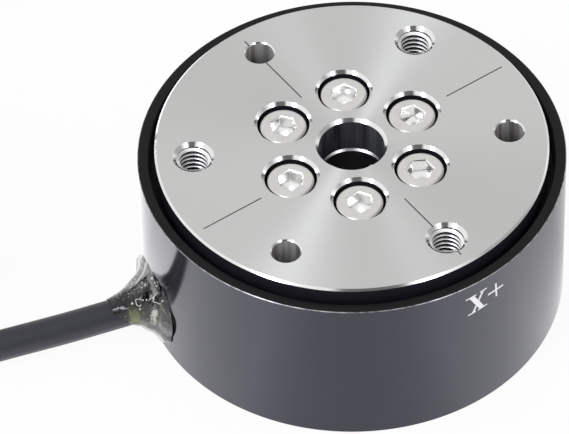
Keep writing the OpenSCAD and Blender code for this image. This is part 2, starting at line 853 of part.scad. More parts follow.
module plug_insert() {
    color([0.15, 0.15, 0.16])
        along_plug(plug_front + nut_floor + 2 * touch)
            difference() {
                cylinder(r = insert_r, h = insert_len);
                translate([0, 0, insert_len - pin_root]) {
                    on_circle(pin_circle, pin_count)
                        cylinder(d = pin_d + 2 * touch, h = pin_root + over, $fn = 24);
                    cylinder(d = pin_d + 2 * touch, h = pin_root + over, $fn = 24);
                }
                translate([insert_r, 0, -over])
                    cylinder(r = key_r, h = insert_len + 2 * over, $fn = 24);
            }
}

module contact_pin() {
    rotate_extrude($fn = 24)
        polygon([
            [0, 0], [pin_d / 2, 0], [pin_d / 2, pin_len - pin_d / 2],
            [pin_d / 4, pin_len], [0, pin_len]
        ]);
}

module plug_pins() {
    color("gold")
        along_plug(plug_front + nut_floor + 2 * touch + insert_len - pin_root) {
            on_circle(pin_circle, pin_count) contact_pin();
            contact_pin();
        }
}

casing();
elastic_element();
ring_screws();
strain_gauges();
hub_pins();
bore_seal();
top_plate();
top_plate_screws();
gap_seal();
circuit_board();
board_posts();
board_screws();
board_chips();
board_capacitors();
board_header();
wire_plug();
core_wires();
inner_jacket();
cable_glue();
cable();
cable_coil();
cable_tail();
coil_ties();
plug_grip();
plug_nut();
plug_insert();
plug_pins();
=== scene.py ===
# %% [markdown]
# # A force torque sensor
#
# This sensor is bolted between a robot's wrist and its tool. A black anodised cup
# goes on the robot, and the bright tool plate stands a little proud of the cup's rim
# with a thin gap all round, so that only the sensing element inside joins the two.
# Six cap screws hold the plate on that element. A cable comes out low on the side,
# set in clear bonding compound, and ends in a round plug.
#
# The solids of the part come from its CAD frame. The pieces that are seen most are
# modelled again here with finer edges, threads and cut marks, and the rest keep
# their CAD shape and get a finish.

import math

import bpy
from mathutils import Matrix, Vector


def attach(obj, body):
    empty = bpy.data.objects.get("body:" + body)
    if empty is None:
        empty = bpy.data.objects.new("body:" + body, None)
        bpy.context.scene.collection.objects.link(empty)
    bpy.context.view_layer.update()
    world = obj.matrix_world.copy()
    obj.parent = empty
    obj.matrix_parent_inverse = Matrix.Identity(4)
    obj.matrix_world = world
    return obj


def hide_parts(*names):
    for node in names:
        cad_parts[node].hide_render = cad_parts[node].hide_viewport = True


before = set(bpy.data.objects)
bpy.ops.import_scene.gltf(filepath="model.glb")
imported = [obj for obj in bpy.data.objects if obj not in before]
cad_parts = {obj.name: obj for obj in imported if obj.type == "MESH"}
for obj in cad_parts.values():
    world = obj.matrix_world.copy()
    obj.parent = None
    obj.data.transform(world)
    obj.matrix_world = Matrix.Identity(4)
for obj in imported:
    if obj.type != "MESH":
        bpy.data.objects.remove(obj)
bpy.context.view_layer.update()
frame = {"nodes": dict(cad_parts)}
MM = 0.001

# %% [markdown]
# ## The camera
#
# A round object is best seen from far away with a long lens, so that the cup shows
# hardly any perspective. The camera looks down on the plate at 47 degrees and is
# rolled by little more than a degree. Its axes are written as a matrix, whose columns
# are the directions right, up and back.

# %% Camera
camera_place = Vector((0.53241, -0.38247, 0.72185))
looking = Vector((-0.55950, 0.38660, -0.73310)).normalized()
right = looking.cross(Vector((0, 0, 1))).normalized()
up = right.cross(looking)
roll = math.radians(-1.32)
right, up = right * math.cos(roll) + up * math.sin(roll), up * math.cos(roll) - right * math.sin(roll)

bpy.ops.object.camera_add(location=camera_place)
camera = bpy.context.object
camera.name = "camera"
camera.data.lens = 344.7
camera.data.sensor_width = 36.0
camera.data.clip_start, camera.data.clip_end = 0.01, 10
axes = Matrix((right, up, -looking)).transposed().to_4x4()
camera.matrix_world = Matrix.Translation(camera_place) @ axes
bpy.context.scene.camera = camera
bpy.context.scene.view_settings.view_transform = "Standard"
print("camera looks down at", round(math.degrees(math.asin(-looking.z)), 1), "degrees")

# %% [markdown]
# ## The sizes that the pieces share
#
# Each size is named once and is the same as in the CAD. The sensor's axis is Z, and
# its underside is at z = 0. The X axis goes through the mark on the cup's side.

# %% Sizes, in metres
cup_r, cup_h, cavity_r, floor_t = 37.5 * MM, 31.4 * MM, 35.5 * MM, 8 * MM
plate_r, plate_top, plate_bottom = 34.45 * MM, 33.7 * MM, 26.2 * MM
bore_r = 5.75 * MM
hole_circle_r, thread_r, dowel_r = 27.7 * MM, 3.02 * MM, 2.5 * MM
thread_places, dowel_places = [0, 120, 240], [60, 180, 300]
screw_circle_r, screw_head_r, screw_head_h = 13.1 * MM, 4.25 * MM, 5 * MM
screw_places = [30, 90, 150, 210, 270, 330]
head_seat = plate_top - 0.85 * MM - screw_head_h
cable_r, cable_angle, cable_z = 2.8 * MM, math.radians(-107.6), 5.3 * MM
jacket_end = cup_r + 4.5 * MM
print("plate stands", round((plate_top - cup_h) / MM, 2), "mm over the rim")

# %% [markdown]
# ## The cable's route
#
# The cable leaves the cup low down, straight out of its side, and comes down to the
# bench in a few centimetres. What isn't needed is wound eight times round, into a neat
# coil of three rows and three columns beside the sensor. The end lies on top of it.
#
# A wound coil is one line that fills its places one after another. `places` lists
# them in the order of winding, as a row and a column, and between two places the
# cable shifts over in a quarter turn. Each shift starts a little earlier on the
# circle than the one it would run into, so that the cable never goes through itself.

# %% Coil and lead
coil_x, coil_y = -68.4 * MM, -87.7 * MM
column_r = [38.6 * MM, 33.0 * MM, 27.4 * MM]
row_z = [3.7 * MM, 9.3 * MM, 14.9 * MM]
tangent_angle = -17.6  # where on the coil the lead comes in, in degrees
places = [(0, 0), (0, 1), (0, 2), (1, 2), (2, 2), (2, 1), (1, 1), (1, 0), (2, 0)]
shift_starts = [270, 630, 963, 1323, 1656, 1989, 2322, 2655]
shift_length = 90
winding_end = 2880


def eased(t):
    t = min(max(t, 0), 1)
    return t * t * (3 - 2 * t)


def coil_point(wound):
    """The point of the coil's line after so many degrees of winding."""
    radius, height = column_r[places[0][1]], row_z[places[0][0]]
    for start, (row, column) in zip(shift_starts, places[1:]):
        share = eased((wound - start) / shift_length)
        radius += (column_r[column] - radius) * share
        height += (row_z[row] - height) * share
    angle = math.radians(tangent_angle - wound)
    return Vector((coil_x + radius * math.cos(angle), coil_y + radius * math.sin(angle), height))


out = Vector((math.cos(cable_angle), math.sin(cable_angle), 0))
lead_points = [
    out * jacket_end + Vector((0, 0, cable_z)),
    Vector((-16.0, -50.5, 4.7)) * MM,
    Vector((-19.4, -61.0, 4.4)) * MM,
    Vector((-22.5, -71.0, 4.15)) * MM,
    Vector((-25.0, -79.0, 3.9)) * MM,
    Vector((-28.0, -88.4, 3.75)) * MM,
]
coil_points = [coil_point(wound) for wound in range(0, winding_end + 1, 15)]
print("coil:", len(coil_points), "points,", round(winding_end / 360, 1), "turns")

# %% The end of the cable, over the coil to the plug
climb_start, climb_length, climb_height = 18, 40, 6.6 * MM
climb_points = []
for climbed in (24, 33, 42, 51, 60):
    angle = math.radians(tangent_angle + climb_start - climbed)
    height = row_z[2] + climb_height * eased((climbed - climb_start) / climb_length)
    climb_points.append(
        Vector((coil_x + column_r[0] * math.cos(angle), coil_y + column_r[0] * math.sin(angle), height))
    )
tail_points = [
    Vector(p) * MM
    for p in (
        (-55.2, -123.9, 21.5), (-63.0, -126.0, 21.5), (-71.0, -126.3, 21.5), (-79.0, -124.8, 21.6),
        (-86.8, -121.3, 22.0), (-93.3, -115.8, 22.9), (-97.9, -108.8, 24.2), (-100.3, -100.8, 25.3),
        (-100.5, -94.5, 25.9), (-99.1, -88.0, 26.0),
    )
]
route = lead_points + coil_points + climb_points + tail_points


def smooth_line(points, steps):
    """A Catmull-Rom line through the points, with so many steps between two of them."""
    line = []
    for i in range(len(points) - 1):
        a, b, c, d = (points[min(max(i + k, 0), len(points) - 1)] for k in (-1, 0, 1, 2))
        for s in range(steps):
            t = s / steps
            squared, cubed = (2 * a - 5 * b + 4 * c - d) * t * t, (3 * b - a - 3 * c + d) * t**3
            line.append(0.5 * (2 * b + (c - a) * t + squared + cubed))
    return line + [points[-1]]


cable_line = smooth_line(route, 4)
cable_length = sum((b - a).length for a, b in zip(cable_line, cable_line[1:]))
print("cable:", round(cable_length, 3), "m")

# %% [markdown]
# The cable itself is a tube swept along that line: a curve with a round bevel, which
# is then converted to a mesh, so that its place in the scene is plain geometry.

# %% Cable
cable_curve = bpy.data.curves.new("cable", "CURVE")
cable_curve.dimensions = "3D"
cable_curve.bevel_depth = cable_r
cable_curve.bevel_resolution = 4
cable_curve.use_fill_caps = True
spline = cable_curve.splines.new("POLY")
spline.points.add(len(cable_line) - 1)
for point, spot in zip(spline.points, cable_line):
    point.co = (*spot, 1)
cable = bpy.data.objects.new("signal_cable", cable_curve)
bpy.context.collection.objects.link(cable)
bpy.ops.object.select_all(action="DESELECT")
cable.select_set(True)
bpy.context.view_layer.objects.active = cable
bpy.ops.object.convert(target="MESH")
cable = bpy.context.object
bpy.ops.object.shade_smooth_by_angle(angle=math.radians(40))
print("cable tube:", len(cable.data.polygons), "faces")
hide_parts("cable", "cable_coil", "cable_tail")
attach(cable, "root")

# %% [markdown]
# ## Helpers for modelling by hand
#
# Most pieces of this sensor were turned on a lathe. The same can be done in edit
# mode: half of the section is drawn by extruding one vertex from point to point, and
# the closed outline is spun once round the axis. Holes are cut afterwards, as on the
# real part, by Boolean modifiers whose cutters are turned in the same way.


# %% Select nothing, or one object, or finish off the object just added
def start_clean():
    if bpy.context.object and bpy.context.object.mode != "OBJECT":
        bpy.ops.object.mode_set(mode="OBJECT")
    bpy.ops.object.select_all(action="DESELECT")


def only(obj):
    start_clean()
    obj.select_set(True)
    bpy.context.view_layer.objects.active = obj
    return obj


def settled(name, finish):
    """The object just added, with its place written into its mesh and its finish on it."""
    piece = bpy.context.object
    piece.name = name
    bpy.ops.object.transform_apply(location=True, rotation=True, scale=True)
    finish.on(piece)
    return piece


# %% Turn a piece on the Z axis
def turned(name, outline, steps=96, closed=True):
    """Draws the outline, points of (radius, height), and spins it round the Z axis."""
    start_clean()
    bpy.ops.mesh.primitive_plane_add(size=MM, location=(0, 0, 0))
    piece = bpy.context.object
    piece.name = name
    bpy.ops.object.mode_set(mode="EDIT")
    bpy.ops.mesh.select_all(action="SELECT")
    bpy.ops.mesh.merge(type="CENTER")
    last = Vector((0, 0, 0))
    for i, (radius, height) in enumerate(outline):
        step = Vector((radius, 0, height)) - last
        if i == 0:
            bpy.ops.transform.translate(value=step)
        else:
            bpy.ops.mesh.extrude_region_move(TRANSFORM_OT_translate={"value": step})
        last += step
    if closed:
        bpy.ops.mesh.extrude_region_move(
            TRANSFORM_OT_translate={"value": Vector((outline[0][0], 0, outline[0][1])) - last}
        )
    bpy.ops.mesh.select_all(action="SELECT")
    bpy.ops.mesh.remove_doubles(threshold=0.001 * MM)
    bpy.ops.mesh.spin(steps=steps, angle=2 * math.pi, center=(0, 0, 0), axis=(0, 0, 1))
    bpy.ops.mesh.select_all(action="SELECT")
    bpy.ops.mesh.remove_doubles(threshold=0.002 * MM)
    bpy.ops.mesh.normals_make_consistent(inside=False)
    bpy.ops.object.mode_set(mode="OBJECT")
    return piece


# %% Put a piece in its place, copy it round a circle, cut with it
def place(piece, x=0.0, y=0.0, z=0.0, turn=0.0):
    """Turns the piece about Z, moves it, and writes both into its mesh."""
    only(piece)
    piece.rotation_euler = (0, 0, turn)
    piece.location = (x, y, z)
    bpy.ops.object.transform_apply(location=True, rotation=True, scale=True)
    return piece


def copy_of(piece, name):
    twin = piece.copy()
    twin.data = piece.data.copy()
    twin.name = name
    bpy.context.collection.objects.link(twin)
    return twin


def round_circle(piece, radius, degrees):
    """The piece and its copies on a circle round the Z axis, at these angles."""
    copies = [piece] + [copy_of(piece, f"{piece.name}_{i + 1}") for i in range(1, len(degrees))]
    for one, angle in zip(copies, map(math.radians, degrees)):
        place(one, radius * math.cos(angle), radius * math.sin(angle))
    return copies


def joined(pieces, name):
    start_clean()
    for piece in pieces:
        piece.select_set(True)
    bpy.context.view_layer.objects.active = pieces[0]
    if len(pieces) > 1:
        bpy.ops.object.join()
    pieces[0].name = name
    return pieces[0]


def cut(piece, cutters):
    """Cuts the piece with its cutters, whose finish stays on the walls they leave."""
    cutter = joined(cutters, "cutter")
    only(piece)
    modifier = piece.modifiers.new("cut", "BOOLEAN")
    modifier.operation, modifier.object, modifier.solver = "DIFFERENCE", cutter, "EXACT"
    modifier.material_mode = "TRANSFER"
    bpy.ops.object.modifier_apply(modifier="cut")
    bpy.data.objects.remove(cutter)
    return piece


def finished(piece, slot, *nodes, angle=28):
    """Last steps for every piece: smooth shading, the CAD nodes it stands for, its body."""
    only(piece)
    bpy.ops.object.shade_smooth_by_angle(angle=math.radians(angle))
    if nodes:
        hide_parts(*nodes)
    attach(piece, "root")
    print(piece.name, len(piece.data.polygons), "faces")
    return piece


# %% [markdown]
# ## Shader maths in plain Python
#
# A finish is mostly arithmetic on numbers that change over a surface, such as the
# distance from the axis. `Flow` wraps a node's output, so that such arithmetic is
# written as an expression, and each operator adds the Math node it stands for.
# `Nodes` is a node tree, whose `node` method makes any other node, and `Finish` is one
# material.


# %% A node's output, with operators
class Flow:
    def __init__(self, finish, socket):
        self.finish, self.socket = finish, socket

    def maths(self, operation, *inputs):
        return self.finish.node("ShaderNodeMath", {"operation": operation}, dict(enumerate(inputs)))

    def __add__(self, other):
        return self.maths("ADD", self, other)

    def __radd__(self, other):
        return self.maths("ADD", other, self)

    def __sub__(self, other):
        return self.maths("SUBTRACT", self, other)

    def __rsub__(self, other):
        return self.maths("SUBTRACT", other, self)

    def __mul__(self, other):
        return self.maths("MULTIPLY", self, other)

    def __rmul__(self, other):
        return self.maths("MULTIPLY", other, self)

    def __truediv__(self, other):
        return self.maths("DIVIDE", self, other)

    def __pow__(self, other):
        return self.maths("POWER", self, other)

    def above(self, limit):
        return self.maths("GREATER_THAN", self, limit)

    def ramp(self, low, high):
        """0 below low, 1 above high, and a straight ramp between them."""
        return self.finish.node("ShaderNodeMapRange", {}, {0: self, 1: low, 2: high, 3: 0, 4: 1})


# %% Nodes, and one material made of them
class Nodes:
    def __init__(self, tree):
        self.tree = tree

    def put(self, socket, value):
        if isinstance(value, Flow):
            self.tree.links.new(value.socket, socket)
        elif hasattr(value, "__len__") and len(value) == 3 and socket.type == "RGBA":
            socket.default_value = (*value, 1)
        else:
            socket.default_value = value

    def node(self, kind, settings=None, inputs=None, output=0):
        """Any node by its type, with its settings first and then its sockets' values or links."""
        made = self.tree.nodes.new(kind)
        for key, value in (settings or {}).items():
            if key == "stops":
                for i, (position, color) in enumerate(value):
                    elements = made.color_ramp.elements
                    stop = elements[i] if i < 2 else elements.new(position)
                    stop.position, stop.color = position, (*color, 1)
                made.color_ramp.interpolation = "CONSTANT"
            else:
                setattr(made, key, value)
        for key, value in (inputs or {}).items():
            self.put(made.inputs[key], value)
        return Flow(self, made.outputs[output])


class Finish(Nodes):
    def __init__(self, name, color=(0.8, 0.8, 0.8), **constants):
        self.material = bpy.data.materials.new(name)
        self.material.use_nodes = True
        super().__init__(self.material.node_tree)
        self.shader = self.tree.nodes["Principled BSDF"]
        self.shader.inputs["Base Color"].default_value = (*color, 1)
        for key, value in constants.items():
            self.shader.inputs[key.replace("_", " ")].default_value = value

    def feed(self, name, value):
        self.put(self.shader.inputs[name], value)
        return self

    def place(self):
        """Where a point is on the object, in metres."""
        return self.node("ShaderNodeTexCoord", output="Object")

    def xyz(self):
        place = self.place()
        return [self.node("ShaderNodeSeparateXYZ", {}, {0: place}, axis) for axis in "XYZ"]

    def from_axis(self):
        """How far a point is from the Z axis, in metres."""
        x, y, _ = self.xyz()
        return (x * x + y * y) ** 0.5

    def noise(self, scale, detail=3.0, roughness=0.5, stretch=None):
        """Noise on the object, from 0 to 1. scale is in lumps to the metre."""
        vector = self.place()
        if stretch:
            times = {"operation": "MULTIPLY"}
            vector = self.node("ShaderNodeVectorMath", times, {0: vector, 1: stretch})
        inputs = {"Vector": vector, "Scale": scale, "Detail": detail, "Roughness": roughness}
        return self.node("ShaderNodeTexNoise", {}, inputs)

    def blend(self, share, low, high):
        """A colour between low and high."""
        return self.node("ShaderNodeMix", {"data_type": "RGBA"}, {0: share, 6: low, 7: high}, 2)

    def bump(self, height, depth, strength=1.0):
        inputs = {"Height": height, "Distance": depth, "Strength": strength}
        return self.node("ShaderNodeBump", {}, inputs)

    def on(self, *objects):
        for obj in objects:
            obj.data.materials.clear()
            obj.data.materials.append(self.material)
        return self


print("helpers ready")

# %% [markdown]
# ## Finishes of the metal
#
# The cup and the plate are aluminium, anodised black. The layer is a clear hard oxide
# over a dyed one, so it reflects like glass at a low angle and is nearly black seen
# straight on. It shows the faint rings of the turning under it.
#
# The plate's face was turned again after anodising. Its fine grooves run round the
# axis, and such grooves spread a highlight across themselves. This is what makes the
# bright fans that cross the plate. The shader does it with Anisotropic, whose
# direction already runs round Z on a piece centred on that axis.

# %% Black anodised aluminium
anodised = Finish(
    "black_anodised", (0.014, 0.014, 0.018), Roughness=0.14, IOR=1.6, Specular_Tint=(0.78, 0.81, 1.0, 1)
)
rings = anodised.noise(1.0, 4, 0.6, stretch=(30, 30, 5200))
cloud = anodised.noise(160, 3)
anodised.feed("Roughness", 0.1 + cloud * 0.03 + rings * 0.03)
anodised.feed("Base Color", anodised.blend(cloud, (0.011, 0.0108, 0.0145), (0.018, 0.0178, 0.023)))
anodised.feed("Normal", anodised.bump(rings, 0.004 * MM, 0.25))

bore_wall = Finish("bore_wall", (0.04, 0.04, 0.045), Roughness=0.25, IOR=1.6)
# The wall is lighter than the other anodising, and streaked lighter and darker up and down.
upright_streak_noise = bore_wall.noise(1.0, 3, 0.6, stretch=(330, 330, 25))
streaks = upright_streak_noise.ramp(0.42, 0.62)
bore_wall.feed("Roughness", 0.2 + upright_streak_noise * 0.12)
bore_wall.feed("Base Color", bore_wall.blend(streaks, (0.02, 0.02, 0.022), (0.085, 0.088, 0.098)))

# %% Turned face of the tool plate
turned_face = Finish(
    "turned_face", (0.6, 0.6, 0.59),
    Metallic=1.0, Roughness=0.3, Anisotropic=0.95, Anisotropic_Rotation=0.25,
)
radius = turned_face.from_axis()
one_way = {"noise_dimensions": "1D"}
coarse = turned_face.node("ShaderNodeTexNoise", one_way, {"W": radius * 900, "Detail": 3.0})
fine = turned_face.node("ShaderNodeTexNoise", one_way, {"W": radius * 9000, "Detail": 2.0})
stain = turned_face.noise(70, 3)
turned_face.feed("Roughness", 0.27 + coarse * 0.05 + fine * 0.05)
turned_face.feed(
    "Base Color", turned_face.blend(coarse * 0.5 + stain * 0.3, (0.56, 0.565, 0.555), (0.63, 0.63, 0.62))
)
turned_face.feed("Normal", turned_face.bump(coarse * 0.4 + fine * 0.6, 0.0016 * MM, 0.3))

# %% Bright cut edges and hole walls
bright_cut = Finish("bright_cut", (0.82, 0.82, 0.81), Metallic=1.0, Roughness=0.12)
marks = bright_cut.noise(1.0, 3, 0.6, stretch=(300, 300, 9000))
bright_cut.feed("Roughness", 0.09 + marks * 0.08)
bright_cut.feed("Base Color", bright_cut.blend(marks, (0.76, 0.76, 0.755), (0.86, 0.86, 0.85)))

# %% Walls of the reamed holes, and the threads: lit flanks and painted shade in roots and crests
reamed = Finish("reamed_wall", (0.78, 0.76, 0.74), Metallic=0.7, Roughness=0.34)
marks = reamed.noise(1.0, 2, 0.5, stretch=(620, 620, 30)).ramp(0.4, 0.6)
reamed.feed("Roughness", 0.38 - marks * 0.1)
reamed.feed("Base Color", reamed.blend(marks, (0.34, 0.32, 0.3), (1.0, 0.99, 0.97)))
# The flanks are a bright lit copy of the threads' metal, and the roots and crests a near black shaded
# copy: painted light and shade.
thread_flank = Finish("thread_flank", (0.92, 0.92, 0.92), Metallic=1.0, Roughness=0.3)
thread_flank.feed("Roughness", 0.24 + thread_flank.noise(2500, 2) * 0.12)
thread_painted_shade = Finish("thread_painted_shade", (0.006, 0.006, 0.006), Roughness=0.4, Specular_IOR_Level=0.2)
painted_shade_mottle = thread_painted_shade.noise(2500, 2)
thread_painted_shade.feed("Base Color", thread_painted_shade.blend(painted_shade_mottle, (0.003, 0.003, 0.003), (0.01, 0.01, 0.01)))

# %% Steel of the screws
screw_steel = Finish("screw_steel", (0.62, 0.61, 0.59), Metallic=1.0, Roughness=0.25)
grain = screw_steel.noise(2600, 4, 0.6)
patch = screw_steel.noise(500, 2)
screw_steel.feed("Roughness", 0.18 + grain * 0.12)
tone = patch * 0.6 + grain * 0.4
screw_steel.feed("Base Color", screw_steel.blend(tone, (0.54, 0.53, 0.51), (0.72, 0.71, 0.69)))
screw_steel.feed("Normal", screw_steel.bump(grain, 0.003 * MM, 0.3))

socket_steel = Finish("socket_steel", (0.9, 0.9, 0.89), Metallic=1.0, Roughness=0.12)
broached = socket_steel.noise(1800, 3)
socket_steel.feed("Roughness", 0.09 + broached * 0.1)
socket_steel.feed("Base Color", socket_steel.blend(broached, (0.84, 0.84, 0.83), (0.97, 0.97, 0.96)))

# %% Dark engraved lines
engraved = Finish("engraved_line", (0.03, 0.03, 0.03), Roughness=0.5)
burr = engraved.noise(3000, 2)
engraved.feed("Base Color", engraved.blend(burr, (0.02, 0.02, 0.02), (0.07, 0.07, 0.07)))

# %% [markdown]
# ## The tool plate
#
# The plate is a thick disc. It could be a cylinder primitive with bevels, but its
# bore and both chamfers come out of the same half section, so it is turned.
# Its holes are then cut in one pass. Each cutter brings the finish of the wall that
# it leaves: the counterbores are anodised inside with a bright chamfer that the last
# facing cut opened, the dowel holes are bare, and the threads' walls are painted near
# black as shade.

# %% Turn the plate
plate = turned(
    "tool_plate",
    [
        (bore_r, plate_bottom + 0.4 * MM), (bore_r + 0.4 * MM, plate_bottom),
        (plate_r - 0.35 * MM, plate_bottom), (plate_r, plate_bottom + 0.35 * MM),
        (plate_r, plate_top - 0.35 * MM), (plate_r - 0.35 * MM, plate_top),
        (bore_r + 0.55 * MM, plate_top), (bore_r, plate_top - 0.55 * MM),
    ],
    steps=240,
)


# %% Give each face its finish, by where it is
def finish_faces(piece, finish, chosen):
    """Puts a further finish on the faces for which chosen(centre, normal) is true."""
    piece.data.materials.append(finish.material)
    faces = [face for face in piece.data.polygons if chosen(face.center, face.normal)]
    for face in faces:
        face.material_index = len(piece.data.materials) - 1
    print(piece.name, finish.material.name, len(faces), "faces")


anodised.on(plate)
finish_faces(plate, turned_face, lambda c, n: n.z > 0.99 and c.z > plate_top - 0.01 * MM)
finish_faces(plate, bright_cut, lambda c, n: 0.3 < n.z < 0.95)
finish_faces(plate, bore_wall, lambda c, n: abs(n.z) < 0.1 and c.xy.length < bore_r + 0.1 * MM)


# %% Cutters for threads, dowel holes and counterbores
def hole_cutter(name, radius, mouth_r, mouth_depth, far, face, outward=1, steps=48):
    """A straight hole from the height `far` to its bevelled mouth, past which the cutter flares on."""
    flare = (mouth_r - radius) / mouth_depth * MM
    lid = face + outward * MM
    outline = [
        (0, far), (radius, far), (radius, face - outward * mouth_depth),
        (mouth_r, face), (mouth_r + flare, lid), (0, lid),
    ]
    cutter = turned(name, outline, steps)
    bright_cut.on(cutter)
    return cutter


below = plate_bottom - MM
thread_cut = hole_cutter("thread_cut", thread_r, 3.64 * MM, 0.62 * MM, below, plate_top)
dowel_cut = hole_cutter("dowel_cut", dowel_r, 2.75 * MM, 0.25 * MM, below, plate_top)
counterbore_cut = hole_cutter(
    "counterbore_cut", 4.6 * MM, 5.08 * MM, 0.62 * MM, head_seat, plate_top, steps=64
)
# The threaded holes' walls get the near black painted shade.
for cutter, wall in ((thread_cut, thread_painted_shade), (dowel_cut, reamed), (counterbore_cut, anodised)):
    finish_faces(cutter, wall, lambda c, n: abs(n.z) < 0.3 or c.z < plate_top - MM)

cutters = (
    round_circle(thread_cut, hole_circle_r, thread_places)
    + round_circle(dowel_cut, hole_circle_r, dowel_places)
    + round_circle(counterbore_cut, screw_circle_r, screw_places)
)

# %% Axis lines, scribed with a fine cutter
# Each line is a shallow box, a little off the centre as the graver left it.
line_boxes = []
for x0, x1, y0, y1 in (
    (16.0, 32.3, -0.46, -0.24), (-31.6, -14.3, -0.61, -0.39),
    (0.49, 0.71, 20.2, 32.4), (1.09, 1.31, -32.4, -20.2),
):
    start_clean()
    bpy.ops.mesh.primitive_cube_add(
        size=1,
        location=((x0 + x1) / 2 * MM, (y0 + y1) / 2 * MM, plate_top),
        scale=((x1 - x0) * MM, (y1 - y0) * MM, 0.3 * MM),
    )
    line_boxes.append(settled("line_box", engraved))

# %% Cut the plate
cut(plate, cutters)
cut(plate, line_boxes)
finished(plate, "plate_metal", "top_plate", angle=25)

# %% [markdown]
# ## The threads
#
# A real thread shows as bright flanks between dark lines, so it is worth modelling
# where the light falls into a hole. One ridge of the thread is drawn as a small
# outline and the Screw modifier winds it up the hole. The ridge sinks a little into
# the wall, so no gap shows behind it. The dark lines are painted shade: the ridge's
# upright faces are coloured near black, and its flanks bright.


# %% Wind one thread
def thread_ridge(name, bottom, turns, major_r=3.05 * MM, minor_r=2.5 * MM, pitch=1.0 * MM):
    start_clean()
    bpy.ops.mesh.primitive_plane_add(size=MM)
    ridge = bpy.context.object
    ridge.name = name
    bpy.ops.object.mode_set(mode="EDIT")
    bpy.ops.mesh.select_all(action="SELECT")
    bpy.ops.mesh.merge(type="CENTER")
    bpy.ops.transform.translate(value=(major_r, 0, bottom))
    depth, flank, crest = major_r - minor_r, 0.3 * pitch, 0.38 * pitch
    for step in ((-depth, 0, flank), (0, 0, crest), (depth, 0, flank)):
        bpy.ops.mesh.extrude_region_move(TRANSFORM_OT_translate={"value": step})
    bpy.ops.object.mode_set(mode="OBJECT")
    screw = ridge.modifiers.new("wind", "SCREW")
    screw.screw_offset, screw.iterations, screw.steps, screw.render_steps = pitch, turns, 40, 40
    bpy.ops.object.modifier_apply(modifier="wind")
    bpy.ops.object.mode_set(mode="EDIT")
    bpy.ops.mesh.select_all(action="SELECT")
    bpy.ops.mesh.remove_doubles(threshold=0.003 * MM)
    bpy.ops.object.mode_set(mode="OBJECT")
    solid = ridge.modifiers.new("back", "SOLIDIFY")
    solid.thickness, solid.offset = 0.02 * MM, 0
    bpy.ops.object.modifier_apply(modifier="back")
    bpy.ops.object.mode_set(mode="EDIT")
    bpy.ops.mesh.select_all(action="SELECT")
    bpy.ops.mesh.normals_make_consistent(inside=False)
    bpy.ops.object.mode_set(mode="OBJECT")
    thread_flank.on(ridge)
    # The upright faces, crests and roots, are painted near black as shade.
    finish_faces(ridge, thread_painted_shade, lambda c, n: abs(n.z) < 0.5)
    return ridge


ridge = thread_ridge("ridge", plate_bottom + 0.2 * MM, 6)
tool_threads = joined(round_circle(ridge, hole_circle_r, thread_places), "tool_threads")
finished(tool_threads, "plate_metal", "top_plate", angle=35)

# %% [markdown]
# ## The screws
#
# Six socket head screws sit in the counterbores. The head is turned with a small
# bevel, and the socket is cut by a hexagonal bar with a cone in front, which is how
# the lead-in of a real socket is struck. One screw is modelled. The copies are
# turned by different amounts, as a hand with a key leaves them.

# %% Turn one screw and cut its socket
shank_r, shank_end = 2.5 * MM, -14 * MM
across_flats, socket_depth = 4 * MM, 2.45 * MM
screw = turned(
    "plate_screw",
    [
        (0, shank_end), (shank_r - 0.4 * MM, shank_end), (shank_r, shank_end + 0.4 * MM), (shank_r, 0),
        (screw_head_r - 0.15 * MM, 0), (screw_head_r, 0.15 * MM),
        (screw_head_r, screw_head_h - 0.5 * MM), (screw_head_r - 0.12 * MM, screw_head_h - 0.22 * MM),
        (screw_head_r - 0.38 * MM, screw_head_h - 0.05 * MM), (screw_head_r - 0.7 * MM, screw_head_h),
        (0, screw_head_h),
    ],
    steps=72,
    closed=False,
)
screw_steel.on(screw)
start_clean()
bpy.ops.mesh.primitive_cylinder_add(
    vertices=6, radius=across_flats / 2 / math.cos(math.radians(30)), depth=4 * MM,
    location=(0, 0, screw_head_h - 0.5 * MM),
)
hex_bar = settled("hex_bar", socket_steel)
start_clean()
bpy.ops.mesh.primitive_cone_add(
    vertices=6, radius1=2.2 * MM, radius2=2.8 * MM, depth=0.6 * MM,
    location=(0, 0, screw_head_h - 0.05 * MM),
)
lead_in = settled("lead_in", socket_steel)
socket_floor = screw_head_h - socket_depth
drill_end = turned(
    "drill_end", [(0, socket_floor - 0.85 * MM), (1.9 * MM, socket_floor), (0, socket_floor)], steps=36
)
socket_steel.on(drill_end)
for cutter in (hex_bar, lead_in, drill_end):
    cut(screw, [cutter])
bevel = screw.modifiers.new("edge", "BEVEL")
bevel.width, bevel.segments = 0.05 * MM, 2
bevel.limit_method, bevel.angle_limit = "ANGLE", math.radians(35)
only(screw)
bpy.ops.object.modifier_apply(modifier="edge")

# %% Copy it round the circle
screw_turns = [0, 14, 22, 40, 30, 30]
screws = [screw] + [copy_of(screw, f"plate_screw_{i}") for i in range(2, 7)]
for one, degrees, turn in zip(screws, screw_places, screw_turns):
    angle = math.radians(degrees)
    x, y = screw_circle_r * math.cos(angle), screw_circle_r * math.sin(angle)
    place(one, x, y, head_seat, angle + math.radians(turn))
    finished(one, "screw_steel", "top_plate_screws", angle=30)

# %% [markdown]
# ## The cup
#
# The cup is turned from one bar: floor, thin wall and a rim with small edges. Its
# outer rim edge was broken after anodising, so a thin bright line runs round it.
# The cutters for the underside are made in the same way as the plate's.

